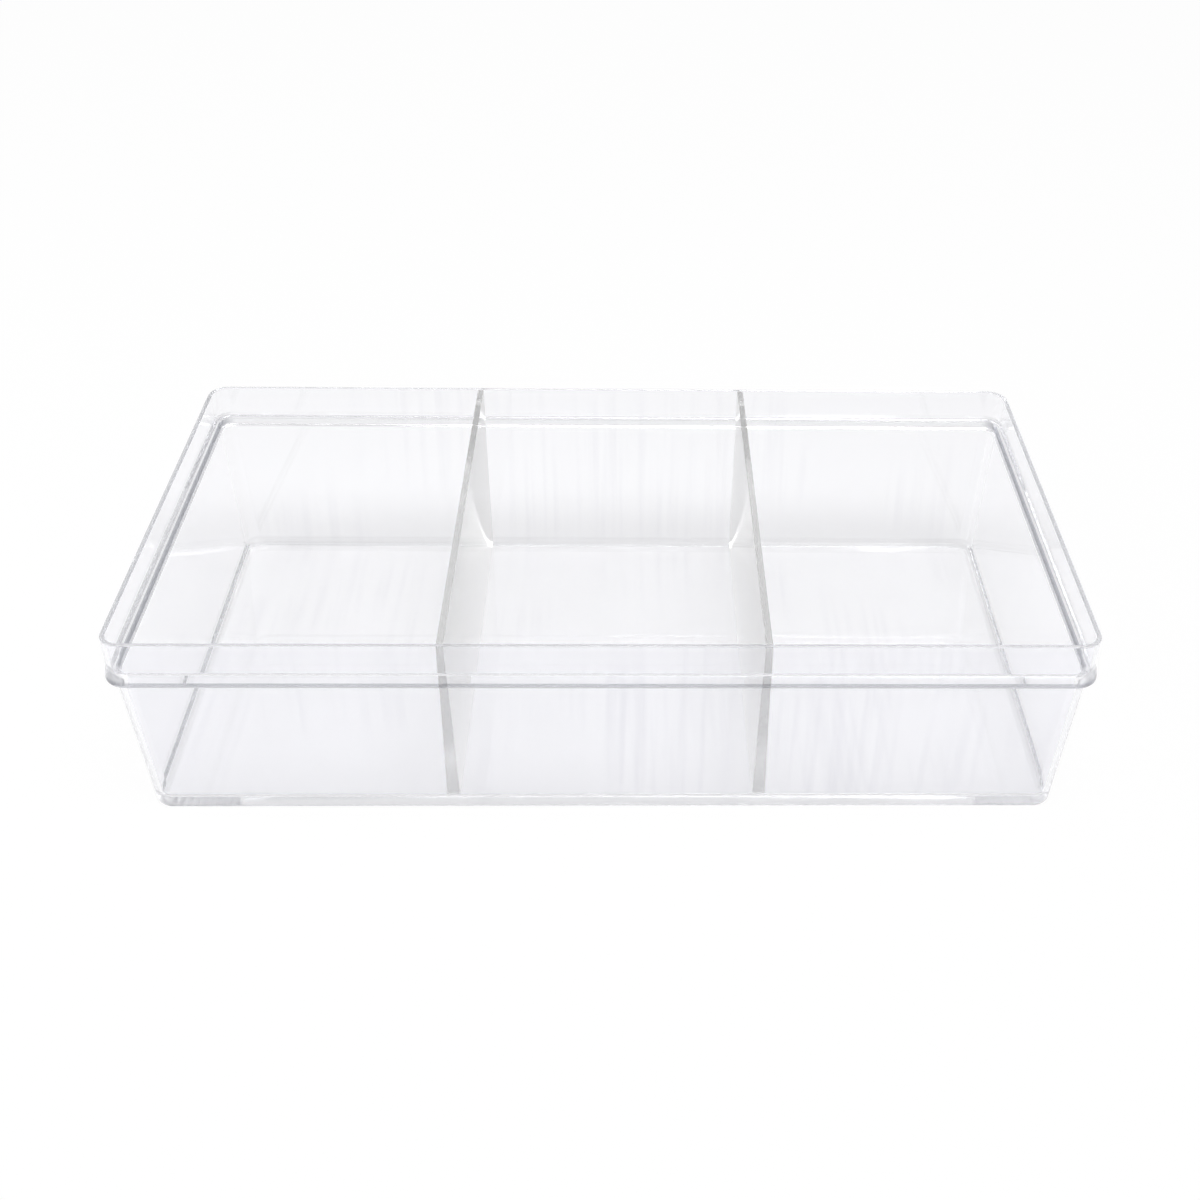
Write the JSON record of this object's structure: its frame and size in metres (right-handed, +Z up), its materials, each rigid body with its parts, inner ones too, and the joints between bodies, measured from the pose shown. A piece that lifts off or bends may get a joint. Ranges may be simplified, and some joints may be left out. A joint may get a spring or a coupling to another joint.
{
  "type": "divided storage box",
  "caption": "Clear open-topped storage box with drafted walls, a stepped collar with an outer bead, and upright dividers that lift out of it.",
  "frame": {"origin": "centre of the footprint, on the surface that the box stands on", "axes": "+Z up; +X along the length, to the right seen from the front; the front faces -Y"},
  "size_m": [0.3518, 0.1918, 0.08],
  "materials": {
    "tray_acrylic": "clear, polished",
    "divider_acrylic": "clear, polished"
  },
  "bodies": {
    "tray": {"tray": "tray_acrylic"},
    "left_divider": {"left_divider": "divider_acrylic"},
    "right_divider": {"right_divider": "divider_acrylic"}
  },
  "joints": [
    {"name": "left_divider_lift", "type": "slide", "parent": "tray", "child": "left_divider", "axis": [0, 0, 1], "range_m": [0, 0.085]},
    {"name": "right_divider_lift", "type": "slide", "parent": "tray", "child": "right_divider", "axis": [0, 0, 1], "range_m": [0, 0.085]}
  ]
}
